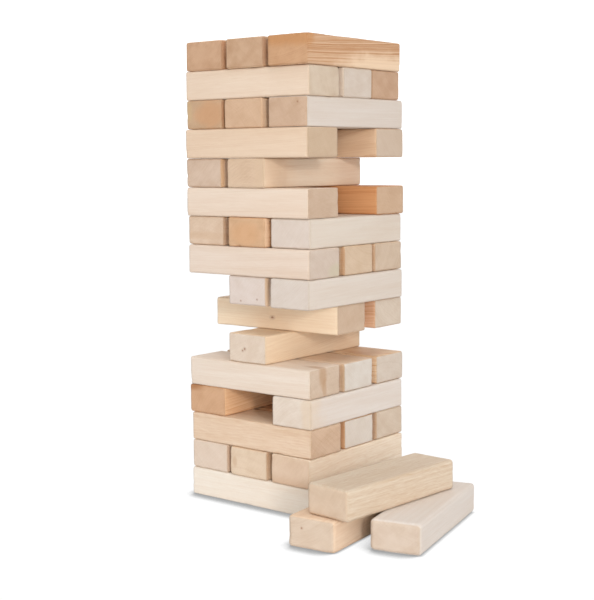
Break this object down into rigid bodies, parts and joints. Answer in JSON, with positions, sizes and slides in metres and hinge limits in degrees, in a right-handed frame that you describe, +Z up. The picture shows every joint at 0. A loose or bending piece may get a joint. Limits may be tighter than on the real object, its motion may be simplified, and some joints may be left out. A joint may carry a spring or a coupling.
{
  "type": "giant stacking block tower",
  "caption": "Tall stack of plain rectangular softwood blocks laid crosswise in alternate levels, part-way through a game, with drawn blocks lying loose beside it.",
  "frame": {"origin": "centre of the tower's square footprint on the ground, on the underside of the middle block of the bottom level", "axes": "+Z up the tower, +X to the right seen from the front (the odd levels run along X), +Y to the back (the even levels run along Y), -Y is the front"},
  "size_m": [0.3728, 0.2912, 0.5608],
  "materials": {
    "pine_cream": "planed bare softwood, pale cream face with faint straight grain",
    "pine_blush": "planed bare softwood, very pale grey-pink sapwood with hardly visible grain",
    "pine_tan": "planed bare softwood, light tan with fine grain lines",
    "pine_amber": "planed bare softwood, warm orange-tan heartwood with strong growth rings"
  },
  "bodies": {
    "level_01_front": {"level_01_front_block": "pine_cream"},
    "level_01_middle": {"level_01_middle_block": "pine_blush"},
    "level_01_back": {"level_01_back_block": "pine_cream"},
    "level_02_left": {"level_02_left_block": "pine_cream"},
    "level_02_middle": {"level_02_middle_block": "pine_tan"},
    "level_02_right": {"level_02_right_block": "pine_tan"},
    "level_03_front": {"level_03_front_block": "pine_tan"},
    "level_03_middle": {"level_03_middle_block": "pine_cream"},
    "level_03_back": {"level_03_back_block": "pine_tan"},
    "level_04_left": {"level_04_left_block": "pine_amber"},
    "level_04_right": {"level_04_right_block": "pine_cream"},
    "level_05_front": {"level_05_front_block": "pine_cream"},
    "level_05_middle": {"level_05_middle_block": "pine_blush"},
    "level_05_back": {"level_05_back_block": "pine_blush"},
    "level_06_middle": {"level_06_middle_block": "pine_tan"},
    "level_07_middle": {"level_07_middle_block": "pine_tan"},
    "level_07_back": {"level_07_back_block": "pine_amber"},
    "level_08_middle": {"level_08_middle_block": "pine_blush"},
    "level_08_right": {"level_08_right_block": "pine_blush"},
    "level_09_front": {"level_09_front_block": "pine_cream"},
    "level_09_middle": {"level_09_middle_block": "pine_tan"},
    "level_09_back": {"level_09_back_block": "pine_tan"},
    "level_10_left": {"level_10_left_block": "pine_cream"},
    "level_10_middle": {"level_10_middle_block": "pine_amber"},
    "level_10_right": {"level_10_right_block": "pine_blush"},
    "level_11_front": {"level_11_front_block": "pine_cream"},
    "level_11_back": {"level_11_back_block": "pine_amber"},
    "level_12_left": {"level_12_left_block": "pine_blush"},
    "level_12_middle": {"level_12_middle_block": "pine_tan"},
    "level_13_front": {"level_13_front_block": "pine_cream"},
    "level_13_back": {"level_13_back_block": "pine_tan"},
    "level_14_left": {"level_14_left_block": "pine_cream"},
    "level_14_middle": {"level_14_middle_block": "pine_tan"},
    "level_14_right": {"level_14_right_block": "pine_blush"},
    "level_15_front": {"level_15_front_block": "pine_cream"},
    "level_15_middle": {"level_15_middle_block": "pine_blush"},
    "level_15_back": {"level_15_back_block": "pine_tan"},
    "level_16_left": {"level_16_left_block": "pine_amber"},
    "level_16_middle": {"level_16_middle_block": "pine_tan"},
    "level_16_right": {"level_16_right_block": "pine_amber"},
    "loose_lower_left": {"loose_lower_left_block": "pine_tan"},
    "loose_lower_right": {"loose_lower_right_block": "pine_blush"},
    "loose_upper": {"loose_upper_block": "pine_tan"}
  },
  "joints": [
    {"name": "balance_rock", "type": "hinge", "parent": "level_06_middle", "child": "level_07_middle", "pos_m": [0.02617, 0.00107, 0.20775], "axis": [0.0087, 1, 0], "range_deg": [0, 6]},
    {"name": "carry_slide", "type": "slide", "parent": "level_01_middle", "child": "level_06_middle", "axis": [-0.0087, -1, 0], "range_m": [-0.03, 0.03]},
    {"name": "lift_level_16_left", "type": "slide", "parent": "level_07_middle", "child": "level_16_left", "axis": [0, 0, 1], "range_m": [0, 0.07]},
    {"name": "lift_level_16_middle", "type": "slide", "parent": "level_07_middle", "child": "level_16_middle", "axis": [0, 0, 1], "range_m": [0, 0.07]},
    {"name": "lift_level_16_right", "type": "slide", "parent": "level_07_middle", "child": "level_16_right", "axis": [0, 0, 1], "range_m": [0, 0.07]},
    {"name": "lift_loose_upper", "type": "slide", "parent": "level_01_middle", "child": "loose_upper", "axis": [0, 0, 1], "range_m": [0, 0.12]},
    {"name": "slide_level_15_front", "type": "slide", "parent": "level_07_middle", "child": "level_15_front", "axis": [-0.9999, -0.0131, 0], "range_m": [-0.19, 0.19]},
    {"name": "slide_level_14_right", "type": "slide", "parent": "level_07_middle", "child": "level_14_right", "axis": [-0.0087, -1, 0], "range_m": [-0.19, 0.19]},
    {"name": "slide_level_13_back", "type": "slide", "parent": "level_07_middle", "child": "level_13_back", "axis": [-1, -0.0061, 0], "range_m": [-0.045, 0.045]},
    {"name": "slide_level_12_middle", "type": "slide", "parent": "level_07_middle", "child": "level_12_middle", "axis": [-0.0122, -0.9999, 0], "range_m": [-0.045, 0.045]},
    {"name": "slide_level_12_left", "type": "slide", "parent": "level_07_middle", "child": "level_12_left", "axis": [-0.0113, -0.9999, 0], "range_m": [-0.19, 0.19]},
    {"name": "slide_level_11_back", "type": "slide", "parent": "level_07_middle", "child": "level_11_back", "axis": [-1, 0.0052, 0], "range_m": [-0.045, 0.045]},
    {"name": "slide_level_10_right", "type": "slide", "parent": "level_07_middle", "child": "level_10_right", "axis": [0.0157, -0.9999, 0], "range_m": [-0.19, 0.19]},
    {"name": "slide_level_09_middle", "type": "slide", "parent": "level_07_middle", "child": "level_09_middle", "axis": [-1, -0.0009, 0], "range_m": [-0.19, 0.19]},
    {"name": "slide_level_09_front", "type": "slide", "parent": "level_07_middle", "child": "level_09_front", "axis": [-1, -0.0017, 0], "range_m": [-0.19, 0.19]},
    {"name": "slide_level_08_middle", "type": "slide", "parent": "level_07_middle", "child": "level_08_middle", "axis": [0.0026, -1, 0], "range_m": [-0.045, 0.045]},
    {"name": "slide_level_08_right", "type": "slide", "parent": "level_07_middle", "child": "level_08_right", "axis": [-0.0017, -1, 0], "range_m": [-0.19, 0.19]},
    {"name": "slide_level_07_back", "type": "slide", "parent": "level_07_middle", "child": "level_07_back", "axis": [-1, -0.0079, 0], "range_m": [-0.19, 0.19]},
    {"name": "slide_level_05_middle", "type": "slide", "parent": "level_01_middle", "child": "level_05_middle", "axis": [-1, -0.0009, 0], "range_m": [-0.19, 0.19]},
    {"name": "slide_level_04_left", "type": "slide", "parent": "level_01_middle", "child": "level_04_left", "axis": [0.0044, -1, 0], "range_m": [-0.045, 0.045]},
    {"name": "slide_level_04_right", "type": "slide", "parent": "level_01_middle", "child": "level_04_right", "axis": [0.0061, -1, 0], "range_m": [-0.045, 0.045]},
    {"name": "slide_level_03_front", "type": "slide", "parent": "level_01_middle", "child": "level_03_front", "axis": [-1, 0.0052, 0], "range_m": [-0.19, 0.19]},
    {"name": "slide_level_02_right", "type": "slide", "parent": "level_01_middle", "child": "level_02_right", "axis": [-0.014, -0.9999, 0], "range_m": [-0.19, 0.19]},
    {"name": "slide_level_01_front", "type": "slide", "parent": "level_01_middle", "child": "level_01_front", "axis": [-1, 0.0017, 0], "range_m": [0, 0.19]},
    {"name": "slide_level_01_back", "type": "slide", "parent": "level_01_middle", "child": "level_01_back", "axis": [-1, 0, 0], "range_m": [0, 0.19]},
    {"name": "slide_loose_lower_left", "type": "slide", "parent": "level_01_middle", "child": "loose_lower_left", "axis": [0.0976, -0.9952, 0], "range_m": [0, 0.19]},
    {"name": "slide_loose_lower_right", "type": "slide", "parent": "level_01_middle", "child": "loose_lower_right", "axis": [0.2317, -0.9728, 0], "range_m": [0, 0.19]},
    {"name": "slide_level_11_front", "type": "slide", "parent": "level_07_middle", "child": "level_11_front", "axis": [-1, -0.0052, 0], "range_m": [-0.045, 0.045]},
    {"name": "slide_level_13_front", "type": "slide", "parent": "level_07_middle", "child": "level_13_front", "axis": [-1, -0.0044, 0], "range_m": [-0.045, 0.045]},
    {"name": "slide_level_15_middle", "type": "slide", "parent": "level_07_middle", "child": "level_15_middle", "axis": [-0.9999, -0.0105, 0], "range_m": [-0.19, 0.19]},
    {"name": "slide_level_15_back", "type": "slide", "parent": "level_07_middle", "child": "level_15_back", "axis": [-1, -0.007, 0], "range_m": [-0.19, 0.19]},
    {"name": "slide_level_14_left", "type": "slide", "parent": "level_07_middle", "child": "level_14_left", "axis": [0.0052, -1, 0], "range_m": [-0.19, 0.19]},
    {"name": "slide_level_14_middle", "type": "slide", "parent": "level_07_middle", "child": "level_14_middle", "axis": [0.0017, -1, 0], "range_m": [-0.19, 0.19]},
    {"name": "slide_level_10_left", "type": "slide", "parent": "level_07_middle", "child": "level_10_left", "axis": [-0.0009, -1, 0], "range_m": [-0.19, 0.19]},
    {"name": "slide_level_10_middle", "type": "slide", "parent": "level_07_middle", "child": "level_10_middle", "axis": [0.0096, -1, 0], "range_m": [-0.19, 0.19]},
    {"name": "slide_level_09_back", "type": "slide", "parent": "level_07_middle", "child": "level_09_back", "axis": [-1, 0.0009, 0], "range_m": [-0.19, 0.19]},
    {"name": "slide_level_05_front", "type": "slide", "parent": "level_01_middle", "child": "level_05_front", "axis": [-1, -0.0035, 0], "range_m": [-0.19, 0.19]},
    {"name": "slide_level_05_back", "type": "slide", "parent": "level_01_middle", "child": "level_05_back", "axis": [-1, -0.0035, 0], "range_m": [-0.19, 0.19]},
    {"name": "slide_level_03_middle", "type": "slide", "parent": "level_01_middle", "child": "level_03_middle", "axis": [-1, 0.0052, 0], "range_m": [-0.19, 0.19]},
    {"name": "slide_level_03_back", "type": "slide", "parent": "level_01_middle", "child": "level_03_back", "axis": [-0.9999, -0.0105, 0], "range_m": [-0.19, 0.19]},
    {"name": "slide_level_02_left", "type": "slide", "parent": "level_01_middle", "child": "level_02_left", "axis": [-0.0026, -1, 0], "range_m": [-0.19, 0.19]},
    {"name": "slide_level_02_middle", "type": "slide", "parent": "level_01_middle", "child": "level_02_middle", "axis": [0.0079, -1, 0], "range_m": [-0.19, 0.19]}
  ]
}
